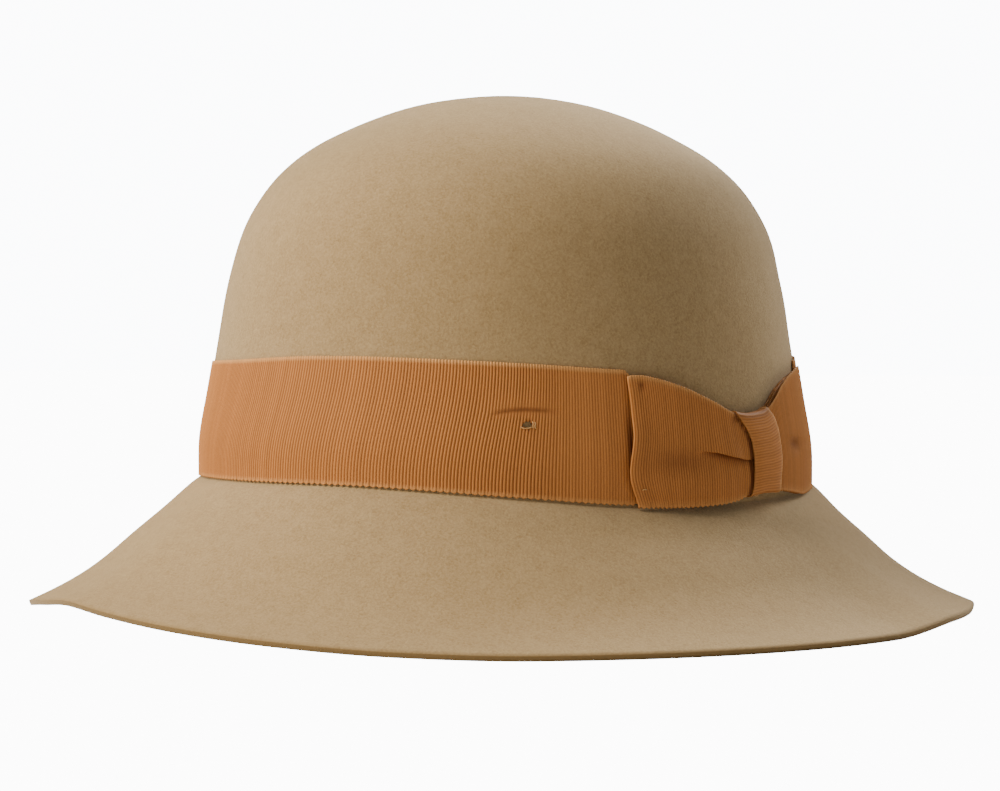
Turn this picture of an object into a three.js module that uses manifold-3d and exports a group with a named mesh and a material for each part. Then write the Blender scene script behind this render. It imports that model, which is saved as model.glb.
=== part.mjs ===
// Cloche hat: one blocked wool felt shell with a drooping brim, a grosgrain ribbon band round the
// crown and a flat tailored bow, held by a knot, on the wearer's left.
// Millimetres. +Z is up and the floor is at zero, the front is -Y and the wearer's left is +X.
// A turn is an angle in degrees from the front towards the wearer's left.

import * as THREE from 'three';
import { mergeVertices } from 'three/addons/utils/BufferGeometryUtils.js';
import Module from 'manifold-3d';

// Felt: outside sizes of the crown where the brim breaks away from it, and the brim
const crownWidth = 175.2;
const crownLength = 196.6;
const crownHeight = 114.2; // from the highest point of the brim break to the top
const breakHeight = 42.6; // floor to the highest point of the brim break
const breakDip = 6.4; // how far the break drops under the bow
const brimSlant = 61.5; // straight across the brim, from the break to the cut edge
const rimLift = 10; // how far the rim rises off the floor at its highest
const feltWall = 1.8;
const rimEdge = 1.6; // height of the cut edge
const rimInset = 0.5; // how far the cut edge leans in
const rimLand = 1.4; // width of the flat that the rim rests on
const hatLean = 0.9; // how far the crown bulges to one side, and the brim to the other
const leanTurn = 127;

// Ribbon: the band, the bow's loops and the knot are the same grosgrain
const ribbonWidth = 38;
const ribbonWall = 1;
const clearance = 0.3; // left between pieces that lie on each other
const creaseDepth = 0.55; // the pucker in the band
const creaseLength = 17;
const creaseTurn = 39.5;
const creaseRise = 0.665; // height of the pucker, as a share of the band
const holeWidth = 2.7; // the worn hole below the pucker
const holeHeight = 1.6;
const holeRise = 0.55;
const holeTurn = 39.8;

// Bow
const bowTurn = 90;
const bowSpan = 99; // tip to tip along the crown
const bowHide = 1.2; // how far the band's edges lie inside the bow's, where it is gathered under it
const bowGather = 3; // length over which the band is gathered in at each tip
const bowRise = 2.8; // between the two layers of a loop where it stands fullest
const pleatDepth = 0.85;
const knotWidth = 15.8;
const knotCorner = 1.1; // bend of the knot's ribbon over the loops' edges
const knotLean = 4; // how far the knot's top leans to the front

// Mesh density
const feltTurns = 72;
const crownRings = 16;
const brimRings = 8;
const bandTurns = 84;
const loopSteps = 20;
const holeSides = 10;

// Crown section from the break to the top. up is a share of the height above the break, out a
// share of the half width or half length, lean a share of hatLean.
const crownRows = [
  { up: 0, out: 1, lean: 0 },
  { up: 0.1, out: 0.998, lean: 0 },
  { up: 0.22, out: 0.973, lean: 0 },
  { up: 0.35, out: 0.945, lean: 0 },
  { up: 0.51, out: 0.912, lean: 0.1 },
  { up: 0.64, out: 0.869, lean: 0.5 },
  { up: 0.74, out: 0.798, lean: 0.5 },
  { up: 0.81, out: 0.717, lean: 0.2 },
  { up: 0.87, out: 0.609, lean: -0.5 },
  { up: 0.93, out: 0.452, lean: -1.2 },
  { up: 0.975, out: 0.277, lean: -2 },
  { up: 1, out: 0, lean: -2 },
];

// Brim section from the break to the rim. out and down are shares of the brim's reach and drop.
const brimRows = [
  { out: 0, down: 0, lean: 0 },
  { out: 0.056, down: 0.056, lean: -0.1 },
  { out: 0.21, down: 0.252, lean: -0.6 },
  { out: 0.376, down: 0.447, lean: -0.9 },
  { out: 0.537, down: 0.641, lean: -1 },
  { out: 0.667, down: 0.769, lean: -1 },
  { out: 0.83, down: 0.895, lean: -0.9 },
  { out: 1, down: 1, lean: -0.4 },
];

// Height of the rim round the hat: lift is a share of rimLift. Three long stretches lie flat.
const rimRows = [
  { turn: 0, lift: 0.53 },
  { turn: 12, lift: 0.28 },
  { turn: 25, lift: 0.09 },
  { turn: 40, lift: 0 },
  { turn: 88, lift: 0 },
  { turn: 104, lift: 0.24 },
  { turn: 121, lift: 0.26 },
  { turn: 140, lift: 0.12 },
  { turn: 158, lift: 0 },
  { turn: 186, lift: 0 },
  { turn: 210, lift: 0.22 },
  { turn: 232, lift: 0.2 },
  { turn: 250, lift: 0 },
  { turn: 280, lift: 0 },
  { turn: 300, lift: 0.22 },
  { turn: 314, lift: 0.4 },
  { turn: 337, lift: 0.875 },
  { turn: 343, lift: 0.98 },
  { turn: 350, lift: 0.8 },
];

// Band round the hat: dip is how far its lower edge drops, as a share of breakDip, and rise its
// upright height as a share of ribbonWidth, less where the ribbon is eased in by steaming.
const bandRows = [
  { turn: 0, dip: 0, rise: 0.935 },
  { turn: 10, dip: 0.04, rise: 0.942 },
  { turn: 20, dip: 0.16, rise: 0.95 },
  { turn: 40, dip: 0.55, rise: 0.975 },
  { turn: 60, dip: 0.93, rise: 0.99 },
  { turn: 72, dip: 1, rise: 0.99 },
  { turn: 88, dip: 0.9, rise: 0.99 },
  { turn: 110, dip: 0.74, rise: 0.99 },
  { turn: 124, dip: 0.5, rise: 0.99 },
  { turn: 150, dip: 0.2, rise: 0.98 },
  { turn: 185, dip: 0.04, rise: 0.95 },
  { turn: 230, dip: 0, rise: 0.92 },
  { turn: 300, dip: 0, rise: 0.885 },
  { turn: 340, dip: 0, rise: 0.905 },
];

// Bow from the front tip, at -1, to the rear tip, at 1. low and high are the loops' edges above
// the band's lower edge under the knot, as shares of ribbonWidth.
const bowRows = [
  { at: -1, low: -0.02, high: 0.945 },
  { at: -0.77, low: -0.024, high: 0.914 },
  { at: -0.55, low: -0.024, high: 0.85 },
  { at: -0.4, low: -0.01, high: 0.771 },
  { at: -0.26, low: 0.05, high: 0.67 },
  { at: -0.17, low: 0.085, high: 0.67 },
  { at: 0.08, low: 0.085, high: 0.67 },
  { at: 0.17, low: 0.085, high: 0.77 },
  { at: 0.35, low: 0.04, high: 0.88 },
  { at: 0.6, low: 0.012, high: 0.96 },
  { at: 1, low: 0.06, high: 1.01 },
];

// Bow from the knot, at 0, to a tip, at 1. rise is the gap between the layers as a share of
// bowRise, stand how far the back layer stands off for the knot's ribbon, pleat the pleat's depth.
const loopRows = [
  { at: 0, rise: 0.79, stand: 1, pleat: 1 },
  { at: 0.25, rise: 0.79, stand: 1, pleat: 1 },
  { at: 0.42, rise: 1, stand: 0.5, pleat: 0.5 },
  { at: 0.6, rise: 0.95, stand: 0.2, pleat: 0 },
  { at: 0.85, rise: 0.7, stand: 0, pleat: 0 },
  { at: 1, rise: 0.52, stand: 0, pleat: 0 },
];

// Stations across the ribbon, as shares of its width, with the pleat and the pucker among them.
const pleatAcross = [
  { share: 0, depth: 0 },
  { share: 0.22, depth: 0 },
  { share: 0.36, depth: 0.1 },
  { share: 0.44, depth: 1 },
  { share: 0.5, depth: 0.25 },
  { share: 0.74, depth: 0 },
  { share: 1, depth: 0 },
];
const creaseAcross = [
  { share: 0, depth: 0 },
  { share: 0.22, depth: 0 },
  { share: 0.44, depth: 0 },
  { share: creaseRise - 0.03, depth: 0 },
  { share: creaseRise, depth: 1 },
  { share: creaseRise + 0.03, depth: 0 },
  { share: 1, depth: 0 },
];
const backAcross = [1, 0.66, 0.44, 0.22, 0]; // down the back of the band

const fullTurn = 360;
const halfWidth = crownWidth / 2;
const halfLength = crownLength / 2;
const crownTop = breakHeight + crownHeight;
const bowRadius = halfWidth + clearance + ribbonWall; // of the band's face under the knot

// Value of one column of a table at a place, smooth and with no overshoot between rows.
function column(rows, key, name, place) {
  let i = rows.length - 2;
  while (i > 0 && place < rows[i][key]) i -= 1;
  const slope = (k) => {
    if (k < 0 || k >= rows.length - 1) return 0;
    return (rows[k + 1][name] - rows[k][name]) / (rows[k + 1][key] - rows[k][key]);
  };
  const bend = (before, after) => {
    if (before * after <= 0) return 0;
    return (2 * before * after) / (before + after);
  };
  const here = rows[i];
  const next = rows[i + 1];
  const span = next[key] - here[key];
  const t = THREE.MathUtils.clamp((place - here[key]) / span, 0, 1);
  const startBend = bend(slope(i - 1), slope(i)) * span;
  const endBend = bend(slope(i), slope(i + 1)) * span;
  const rise = next[name] - here[name];
  const curve = t * t * (3 - 2 * t);
  return here[name] + rise * curve + startBend * t * (1 - t) ** 2 - endBend * t * t * (1 - t);
}

// The same for a table of turns, whose last row leads round to its first.
function roundColumn(rows, name, turn) {
  const before = rows.slice(-2).map((row) => ({ ...row, turn: row.turn - fullTurn }));
  const after = rows.slice(0, 2).map((row) => ({ ...row, turn: row.turn + fullTurn }));
  const place = THREE.MathUtils.euclideanModulo(turn, fullTurn);
  return column([...before, ...rows, ...after], 'turn', name, place);
}

const brimBreak = (turn) => breakHeight - breakDip * roundColumn(bandRows, 'dip', turn);
const rimHeight = (turn) => rimLift * roundColumn(rimRows, 'lift', turn);

// Distance from the axis to the oval of the crown at the break.
function oval(turn) {
  const angle = THREE.MathUtils.degToRad(turn);
  return 1 / Math.hypot(Math.sin(angle) / halfWidth, Math.cos(angle) / halfLength);
}

function pointAt(turn, radius, height) {
  const angle = THREE.MathUtils.degToRad(turn);
  return new THREE.Vector3(radius * Math.sin(angle), -radius * Math.cos(angle), height);
}

// Section curves through the rows of the tables. The crown's runs on past the top to a mirrored
// row, so that the top is round.
const lastSlope = crownRows[crownRows.length - 2];
const crownCurve = new THREE.CatmullRomCurve3(
  [...crownRows, { ...lastSlope, out: -lastSlope.out }].map((row) => {
    return new THREE.Vector3(row.out, row.up, 0);
  }),
  false,
  'centripetal',
);
const crownEnd = (crownRows.length - 1) / crownRows.length;
const brimCurve = new THREE.CatmullRomCurve3(
  brimRows.map((row) => new THREE.Vector3(row.out, row.down, 0)),
  false,
  'centripetal',
);

// How much a turn gains in radius where the hat leans to one side.
function leanShift(turn, share) {
  return hatLean * share * Math.cos(THREE.MathUtils.degToRad(turn - leanTurn));
}

// Outside of the felt at a place along the crown's section, from the break to the top.
function crownPoint(turn, along) {
  const section = crownCurve.getPoint(along * crownEnd);
  const lean = column(crownRows, 'up', 'lean', section.y);
  const radius = section.x * (oval(turn) + leanShift(turn, lean));
  return pointAt(turn, radius, THREE.MathUtils.lerp(brimBreak(turn), crownTop, section.y));
}

// Distance from the axis to the outside of the felt at a height, no lower than the break.
function crownRadius(turn, height) {
  let low = 0;
  let high = 1;
  for (let step = 0; step < 24; step += 1) {
    const middle = (low + high) / 2;
    if (crownPoint(turn, middle).z < height) low = middle;
    else high = middle;
  }
  const point = crownPoint(turn, low);
  return Math.hypot(point.x, point.y);
}

// Outside of the felt at a place along the brim's section, from the break to the rim.
function brimPoint(turn, along) {
  const section = brimCurve.getPoint(along);
  const drop = brimBreak(turn) - rimHeight(turn) - rimEdge;
  const reach = Math.sqrt(brimSlant ** 2 - drop ** 2);
  const lean = column(brimRows, 'out', 'lean', section.x);
  const radius = oval(turn) + reach * section.x + leanShift(turn, lean);
  return pointAt(turn, radius, brimBreak(turn) - drop * section.y);
}

// Joins rows of points into one closed solid. A ring's last row meets its first. Otherwise the
// first and last rows are single points.
function solidFrom(rows, isRing) {
  const positions = rows.flat().flatMap((point) => point.toArray());
  const starts = [];
  rows.reduce((count, row) => {
    starts.push(count);
    return count + row.length;
  }, 0);
  const indices = [];
  const across = Math.max(...rows.map((row) => row.length));
  const spot = (row, place) => starts[row] + (rows[row].length === 1 ? 0 : place % across);
  for (let i = 0; i < rows.length - (isRing ? 0 : 1); i += 1) {
    const next = (i + 1) % rows.length;
    for (let j = 0; j < across; j += 1) {
      const corners = [spot(i, j), spot(next, j), spot(next, j + 1), spot(i, j + 1)];
      if (corners[0] !== corners[3]) indices.push(corners[0], corners[1], corners[3]);
      if (corners[1] !== corners[2]) indices.push(corners[1], corners[2], corners[3]);
    }
  }
  const geometry = new THREE.BufferGeometry();
  geometry.setAttribute('position', new THREE.Float32BufferAttribute(positions, 3));
  geometry.setIndex(indices);
  geometry.computeVertexNormals();
  return geometry;
}

function turnsOf(count) {
  return Array.from({ length: count }, (_, i) => (fullTurn * i) / count);
}

// Felt shell: the outside from the top to the rim, the cut edge with its flat, and the inside one
// wall in from the outside.
function feltGeometry() {
  const turns = turnsOf(feltTurns);
  const outside = [];
  for (let i = crownRings - 1; i > 0; i -= 1) {
    outside.push(turns.map((turn) => crownPoint(turn, i / crownRings)));
  }
  for (let i = 0; i <= brimRings; i += 1) {
    outside.push(turns.map((turn) => brimPoint(turn, i / brimRings)));
  }
  const top = crownPoint(0, 1);
  const inside = outside.slice(0, -1).map((row, i) => {
    const above = i === 0 ? row.map(() => top) : outside[i - 1];
    const below = outside[i + 1];
    return row.map((point, j) => {
      const round = new THREE.Vector3()
        .subVectors(row[(j + 1) % row.length], row[(j + row.length - 1) % row.length]);
      const down = new THREE.Vector3().subVectors(below[j], above[j]);
      const inward = round.cross(down).normalize();
      return point.clone().addScaledVector(inward, feltWall);
    });
  });
  const rimFrom = (inset) => outside[outside.length - 1].map((point, j) => {
    const radius = Math.hypot(point.x, point.y);
    return pointAt(turns[j], radius - inset, rimHeight(turns[j]));
  });
  const under = top.clone().setZ(top.z - feltWall);
  const edge = [rimFrom(rimInset), rimFrom(rimInset + rimLand)];
  return solidFrom([[top], ...outside, ...edge, ...inside.reverse(), [under]], false);
}

const bowBase = brimBreak(bowTurn);
const edgeHeight = (name, at) => bowBase + ribbonWidth * column(bowRows, 'at', name, at);

// Heights of the band's edges. Under the bow the ribbon is gathered in, so that the bow hides it.
function bandEdges(turn) {
  const low = brimBreak(turn) + clearance;
  const high = low + ribbonWidth * roundColumn(bandRows, 'rise', turn);
  const arc = THREE.MathUtils.degToRad(turn - bowTurn) * bowRadius;
  const half = bowSpan / 2;
  const front = THREE.MathUtils.smoothstep(arc, -half - bowGather / 4, -half + bowGather * 0.75);
  const rear = 1 - THREE.MathUtils.smoothstep(arc, half + bowGather / 2, half + bowGather * 1.5);
  const hidden = Math.min(front, rear);
  const hideLow = Math.max(low, edgeHeight('low', arc / half) + bowHide);
  const hideHigh = Math.min(high, edgeHeight('high', arc / half) - bowHide);
  return {
    low: THREE.MathUtils.lerp(low, hideLow, hidden),
    high: THREE.MathUtils.lerp(high, hideHigh, hidden),
  };
}

// Face of the band, or a distance off it, at a share of the band's height.
function bandPoint(turn, share, off) {
  const { low, high } = bandEdges(turn);
  const height = THREE.MathUtils.lerp(low, high, share);
  return pointAt(turn, crownRadius(turn, height) + clearance + ribbonWall + off, height);
}

// Turns at the bow's two tips, where the band's edges are gathered in.
function gatherTurns() {
  const half = bowSpan / 2;
  const arcs = [-half, -half + bowGather * 0.4, half + bowGather, half + bowGather * 1.6];
  return arcs.map((arc) => bowTurn + THREE.MathUtils.radToDeg(arc / bowRadius));
}

// Band: a closed ring of ribbon with the pucker pressed into its face and the worn hole through it.
function bandGeometry() {
  const halfCrease = THREE.MathUtils.radToDeg(creaseLength / 2 / oval(creaseTurn));
  const creaseShares = [-1, -0.6, -0.2, 0.2, 0.6, 1];
  const turns = [
    ...turnsOf(bandTurns).filter((turn) => Math.abs(turn - creaseTurn) > halfCrease * 1.15),
    ...gatherTurns(),
    ...creaseShares.map((share) => creaseTurn + share * halfCrease),
  ].sort((first, second) => first - second);
  const rows = turns.map((turn) => {
    const nearness = Math.max(0, 1 - ((turn - creaseTurn) / halfCrease) ** 2);
    const face = creaseAcross.map(({ share, depth }) => {
      return bandPoint(turn, share, -creaseDepth * depth * nearness);
    });
    const back = backAcross.map((share) => bandPoint(turn, share, -ribbonWall));
    return [...face, ...back];
  });
  return cutHole(solidFrom(rows, true));
}

// Solid of a geometry for cutting, with its shared corners merged.
function cuttable(wasm, geometry) {
  const bare = geometry.clone();
  bare.deleteAttribute('normal');
  bare.deleteAttribute('uv');
  const merged = mergeVertices(bare);
  return new wasm.Manifold(new wasm.Mesh({
    numProp: 3,
    vertProperties: new Float32Array(merged.attributes.position.array),
    triVerts: new Uint32Array(merged.index.array),
  }));
}

// The worn hole: an oval pin, one unit across before it is scaled, taken out of the band.
function cutHole(band) {
  const middle = bandPoint(holeTurn, holeRise, -ribbonWall / 2);
  const pin = new THREE.CylinderGeometry(0.5, 0.5, ribbonWall * 3, holeSides);
  pin.scale(holeWidth, 1, holeHeight);
  pin.rotateZ(THREE.MathUtils.degToRad(holeTurn));
  pin.translate(middle.x, middle.y, middle.z);
  const cut = cuttable(wasm, band).subtract(cuttable(wasm, pin)).getMesh();
  const geometry = new THREE.BufferGeometry();
  geometry.setAttribute('position', new THREE.BufferAttribute(cut.vertProperties, 3));
  geometry.setIndex(new THREE.BufferAttribute(cut.triVerts, 1));
  geometry.computeVertexNormals();
  return geometry;
}

// Point on the bow: arc is the distance from the knot's middle along the band, off the distance
// from the band's face.
function bowPoint(arc, height, off) {
  const turn = bowTurn + THREE.MathUtils.radToDeg(arc / bowRadius);
  return pointAt(turn, crownRadius(turn, height) + clearance + ribbonWall + off, height);
}

const loopValue = (name, at) => column(loopRows, 'at', name, Math.abs(at));
const backOff = (at) => {
  return clearance + ribbonWall / 2 + (ribbonWall + clearance) * loopValue('stand', at);
};
const frontOff = (at) => backOff(at) + bowRise * loopValue('rise', at);

// Directions square to a closed path of flat points, pointing out of it where it runs clockwise.
function squareTo(path) {
  return path.map((_, i) => {
    const before = path[(i + path.length - 1) % path.length];
    const after = path[(i + 1) % path.length];
    const along = new THREE.Vector2().subVectors(after, before).normalize();
    return new THREE.Vector2(-along.y, along.x);
  });
}

// Loops: one flattened ring of ribbon, up the front layer, round the rear fold, back along the
// crown and round the front fold. x is the distance along the crown and y the distance off it.
function loopsGeometry() {
  const half = bowSpan / 2;
  const foldRadius = (frontOff(1) - backOff(1)) / 2;
  const foldMiddle = (frontOff(1) + backOff(1)) / 2;
  const reach = half - foldRadius;
  const places = Array.from({ length: loopSteps + 1 }, (_, i) => (2 * i) / loopSteps - 1);
  const foldSteps = [0.25, 0.5, 0.75];
  const path = [];
  const pleats = [];
  for (const place of places) {
    path.push(new THREE.Vector2(place * reach, frontOff(place)));
    pleats.push(loopValue('pleat', place));
  }
  const addFold = (side) => {
    for (const share of foldSteps) {
      const angle = Math.PI * (side > 0 ? 0.5 - share : 1.5 - share);
      path.push(new THREE.Vector2(
        side * reach + foldRadius * Math.cos(angle),
        foldMiddle + foldRadius * Math.sin(angle),
      ));
      pleats.push(0);
    }
  };
  addFold(1);
  for (const place of [...places].reverse()) {
    path.push(new THREE.Vector2(place * reach, backOff(place)));
    pleats.push(0);
  }
  addFold(-1);
  const square = squareTo(path);
  const rows = path.map((spot, i) => {
    const low = edgeHeight('low', spot.x / half);
    const high = edgeHeight('high', spot.x / half);
    const edge = (side) => pleatAcross.map(({ share, depth }) => {
      const flat = spot.clone().addScaledVector(square[i], (side * ribbonWall) / 2);
      const height = THREE.MathUtils.lerp(low, high, share);
      return bowPoint(flat.x, height, flat.y - pleatDepth * depth * pleats[i]);
    });
    return [...edge(1), ...edge(-1).reverse()];
  });
  return solidFrom(rows, true);
}

// Knot: a short ribbon wrapped up the front of the loops, over them, down behind them and under.
function knotGeometry() {
  const outBy = clearance + ribbonWall / 2;
  const low = edgeHeight('low', 0) - outBy;
  const high = edgeHeight('high', 0) + outBy;
  const back = clearance + ribbonWall / 2;
  const front = frontOff(0) + ribbonWall / 2 + outBy;
  const lowBend = low + knotCorner;
  const highBend = high - knotCorner;
  const corners = [
    { height: lowBend, off: front - knotCorner, start: 180 },
    { height: highBend, off: front - knotCorner, start: 90 },
    { height: highBend, off: back + knotCorner, start: 0 },
    { height: lowBend, off: back + knotCorner, start: -90 },
  ];
  const sideShares = [0.25, 0.5, 0.75];
  const addSide = (from, to, off) => {
    for (const share of sideShares) {
      path.push(new THREE.Vector2(THREE.MathUtils.lerp(from, to, share), off));
    }
  };
  const path = [];
  const cornerSteps = [0, 30, 60, 90];
  corners.forEach((corner, i) => {
    for (const step of cornerSteps) {
      const angle = THREE.MathUtils.degToRad(corner.start - step);
      path.push(new THREE.Vector2(
        corner.height + knotCorner * Math.cos(angle),
        corner.off + knotCorner * Math.sin(angle),
      ));
    }
    if (i === 0) addSide(lowBend, highBend, front);
    if (i === 2) addSide(highBend, lowBend, back);
  });
  const square = squareTo(path);
  const across = [0.5, 0.25, 0, -0.25, -0.5];
  const rows = path.map((spot, i) => {
    const upShare = THREE.MathUtils.clamp((spot.x - low) / (high - low), 0, 1);
    const lean = -knotLean * THREE.MathUtils.smoothstep(upShare, 0.45, 1);
    const edge = (side) => across.map((share) => {
      const flat = spot.clone().addScaledVector(square[i], (side * ribbonWall) / 2);
      return bowPoint(lean + share * knotWidth, flat.x, flat.y);
    });
    return [...edge(1), ...edge(-1).reverse()];
  });
  return solidFrom(rows, true);
}

const wasm = await Module();
wasm.setup();

const felt = new THREE.MeshStandardMaterial({ color: '#b09a78', roughness: 0.95, metalness: 0 });
const ribbon = new THREE.MeshStandardMaterial({ color: '#b07a4a', roughness: 0.6, metalness: 0 });

const pieces = [
  { name: 'felt_body', geometry: feltGeometry(), material: felt },
  { name: 'ribbon_band', geometry: bandGeometry(), material: ribbon.clone() },
  { name: 'bow_loops', geometry: loopsGeometry(), material: ribbon.clone() },
  { name: 'bow_knot', geometry: knotGeometry(), material: ribbon.clone() },
];

const hat = new THREE.Group();
hat.name = 'cloche_hat';
for (const { name, geometry, material } of pieces) {
  const mesh = new THREE.Mesh(geometry, material);
  mesh.name = name;
  hat.add(mesh);
}

// The origin is on the floor under the middle of the brim.
const brimMiddle = new THREE.Box3().setFromObject(hat).getCenter(new THREE.Vector3());
hat.position.set(-brimMiddle.x, -brimMiddle.y, 0);

export default hat;
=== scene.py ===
# Cloche hat: blocked wool felt with a grosgrain band and a flat side bow, dressed around the packed
# model. Tables and sizes are in millimetres. A turn is in degrees from the front of the hat
# towards the wearer's left. Heights are above the surface that the hat stands on.

import bisect
import math
import random

import bmesh
import bpy
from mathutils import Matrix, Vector, noise


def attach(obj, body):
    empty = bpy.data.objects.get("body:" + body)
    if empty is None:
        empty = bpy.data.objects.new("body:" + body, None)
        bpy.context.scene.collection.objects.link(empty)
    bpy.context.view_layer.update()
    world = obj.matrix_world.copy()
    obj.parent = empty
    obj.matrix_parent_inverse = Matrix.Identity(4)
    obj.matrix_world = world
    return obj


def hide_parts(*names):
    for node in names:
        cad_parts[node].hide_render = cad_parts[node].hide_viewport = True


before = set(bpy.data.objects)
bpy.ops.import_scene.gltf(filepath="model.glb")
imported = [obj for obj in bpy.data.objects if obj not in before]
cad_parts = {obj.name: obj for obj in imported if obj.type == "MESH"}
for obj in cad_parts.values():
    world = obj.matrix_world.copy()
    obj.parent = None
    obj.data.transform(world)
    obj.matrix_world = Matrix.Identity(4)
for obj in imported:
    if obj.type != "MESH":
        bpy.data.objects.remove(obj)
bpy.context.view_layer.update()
mm = 0.001
axis = Vector((-1.94, 2.325, 0))  # crown's axis, beside the middle of the brim
rng = random.Random(7)
print("frame loaded")


def clamp(value, low=0.0, high=1.0):
    return min(max(value, low), high)


def ease(low, high, value):  # 0 below low, 1 above high, smooth between
    t = clamp((value - low) / (high - low))
    return t * t * (3 - 2 * t)


def hump(distance, width):  # 1 at no distance, fading out over about two widths
    return math.exp(-((distance / width) ** 2))


def plateau(edges, value):  # 1 between the inner two edges, 0 outside the outer two
    return ease(edges[0], edges[1], value) * (1 - ease(edges[2], edges[3], value))


def patch(row, along, across):  # a soft spot: middle and width each way, then its strength
    return row[4] * hump(along - row[0], row[1]) * hump(across - row[2], row[3])


def column(rows, place, index=1):  # one column of a table, smooth and with no overshoot
    i = len(rows) - 2
    while i > 0 and place < rows[i][0]:
        i -= 1

    def slope(k):
        if k < 0 or k >= len(rows) - 1:
            return 0
        return (rows[k + 1][index] - rows[k][index]) / (rows[k + 1][0] - rows[k][0])

    def bend(before, after):
        return 0 if before * after <= 0 else 2 * before * after / (before + after)

    span = rows[i + 1][0] - rows[i][0]
    t = clamp((place - rows[i][0]) / span)
    rise = rows[i + 1][index] - rows[i][index]
    start = bend(slope(i - 1), slope(i)) * span
    end = bend(slope(i), slope(i + 1)) * span
    value = rows[i][index] + rise * t * t * (3 - 2 * t)
    return value + start * t * (1 - t) ** 2 - end * t * t * (1 - t)


def roundColumn(rows, index=1):  # two samples a degree, the last row leads round to the first
    before = [(row[0] - 360, *row[1:]) for row in rows[-2:]]
    after = [(row[0] + 360, *row[1:]) for row in rows[:2]]
    return [column(before + rows + after, half / 2, index) for half in range(720)]


def atTurn(samples, turn):
    place = (turn % 360) * 2
    i = int(place)
    return samples[i % 720] + (samples[(i + 1) % 720] - samples[i % 720]) * (place - i)


def curveThrough(points, steps):  # centripetal Catmull-Rom curve, steps samples a stretch
    line = [points[0] * 2 - points[1], *points, points[-1] * 2 - points[-2]]
    samples = []
    for before, start, end, after in zip(line, line[1:], line[2:], line[3:]):
        g0 = math.sqrt((start - before).length)
        g1 = math.sqrt((end - start).length)
        g2 = math.sqrt((after - end).length)
        leave = (start - before) / g0 - (end - before) / (g0 + g1) + (end - start) / g1
        arrive = (end - start) / g1 - (after - start) / (g1 + g2) + (after - end) / g2
        for step in range(steps):
            t = step / steps
            samples.append(
                start * (2 * t**3 - 3 * t * t + 1)
                + end * (3 * t * t - 2 * t**3)
                + leave * g1 * (t**3 - 2 * t * t + t)
                + arrive * g1 * (t**3 - t * t)
            )
    samples.append(points[-1].copy())
    return samples


def atShare(samples, share):
    place = clamp(share) * (len(samples) - 1)
    i = min(int(place), len(samples) - 2)
    return samples[i].lerp(samples[i + 1], place - i)


# Felt: sizes and tables
felt = {
    "crownWidth": 175.2,
    "crownLength": 196.6,
    "crownHeight": 114.2,
    "breakHeight": 42.6,
    "breakDip": 6.4,
    "brimSlant": 61.5,
    "rimLift": 10,
    "wall": 1.8,
    "rimEdge": 1.6,
    "lean": 0.9,
    "leanTurn": 127,
    "turns": 400,
    "crownRings": 64,
    "brimRings": 44,
    "insideRings": 34,  # in the crown and again in the brim
    "lumps": [(34, 0.22), (11, 0.09)],  # size and height of the unevenness left by blocking
    # share of the height, share of the half width, share of the lean
    "crown": [
        (0, 1, 0),
        (0.1, 0.998, 0),
        (0.22, 0.973, 0),
        (0.35, 0.945, 0),
        (0.51, 0.912, 0.1),
        (0.64, 0.869, 0.5),
        (0.74, 0.798, 0.5),
        (0.81, 0.717, 0.2),
        (0.87, 0.609, -0.5),
        (0.93, 0.452, -1.2),
        (0.975, 0.277, -2),
        (1, 0, -2),
    ],
    # share of the reach, share of the drop, share of the lean
    "brim": [
        (0, 0, 0),
        (0.056, 0.056, -0.1),
        (0.21, 0.252, -0.6),
        (0.376, 0.447, -0.9),
        (0.537, 0.641, -1),
        (0.667, 0.769, -1),
        (0.83, 0.895, -0.9),
        (1, 1, -0.4),
    ],
    # turn, height of the rim as a share of its highest
    "rim": [
        (0, 0.53),
        (12, 0.28),
        (25, 0.09),
        (40, 0),
        (88, 0),
        (104, 0.24),
        (121, 0.26),
        (140, 0.12),
        (158, 0),
        (186, 0),
        (210, 0.22),
        (232, 0.2),
        (250, 0),
        (280, 0),
        (300, 0.22),
        (314, 0.4),
        (337, 0.875),
        (343, 0.98),
        (350, 0.8),
    ],
    # outwards from the rim's outer corner and height above its underside
    "cutEdge": [(0.02, 1.35), (-0.08, 1.0), (-0.25, 0.5), (-0.5, 0), (-1.9, 0)],
}

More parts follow.
